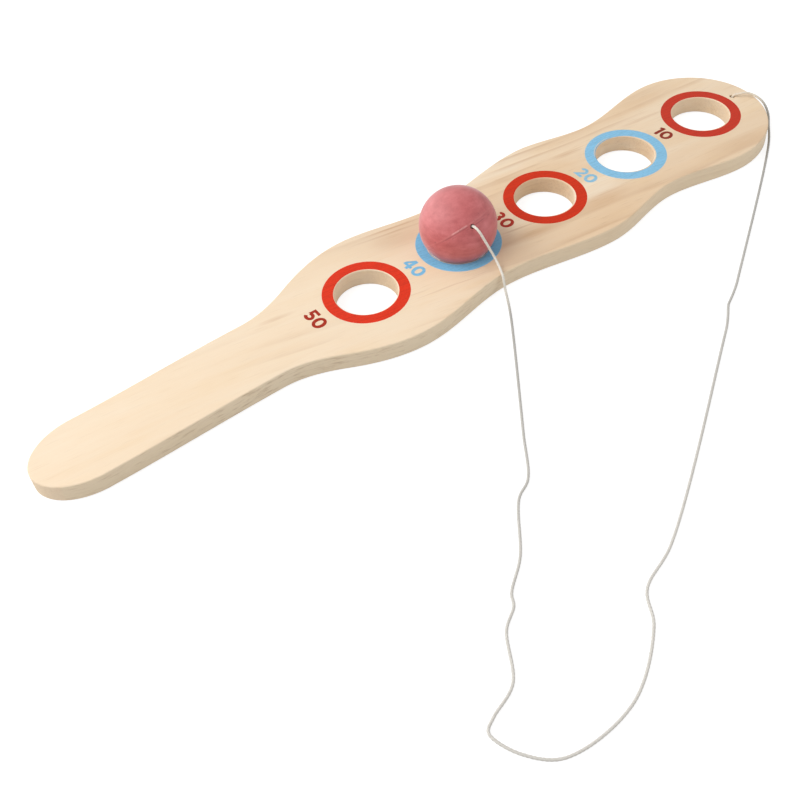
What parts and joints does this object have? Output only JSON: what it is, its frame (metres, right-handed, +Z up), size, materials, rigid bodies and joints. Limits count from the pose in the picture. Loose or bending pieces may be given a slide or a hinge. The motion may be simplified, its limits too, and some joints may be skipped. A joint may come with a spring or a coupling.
{
  "type": "paddle ball game",
  "caption": "Wooden paddle with a row of score holes and a rubber ball tied to its tip by a long cord, the ball resting in one hole.",
  "frame": {"origin": "middle of the board's length, on the line of the hole centres, on the table under its flat underside", "axes": "+X from the end of the grip towards the tip, +Z up out of the printed face, +Y across the board, away from the loop of cord"},
  "size_m": [0.4507, 0.2813, 0.042],
  "materials": {
    "pine": "sanded and clear sealed, satin",
    "rubber": "matte, faint mould line",
    "cotton": "undyed twisted cotton"
  },
  "bodies": {
    "paddle": {"paddle": "pine", "cord_main": "cotton", "tip_knot": "cotton"},
    "cord_end": {"cord_end": "cotton", "ball_knot": "cotton"},
    "ball": {"ball": "rubber"}
  },
  "joints": [
    {"name": "ball_lift", "type": "slide", "parent": "paddle", "child": "cord_end", "axis": [0, 0, 1], "range_m": [0, 0.06]},
    {"name": "ball_spin", "type": "hinge", "parent": "cord_end", "child": "ball", "pos_m": [0.015, 0, 0.02197], "axis": [-0.16, -0.8233, 0.5446], "continuous": true}
  ]
}
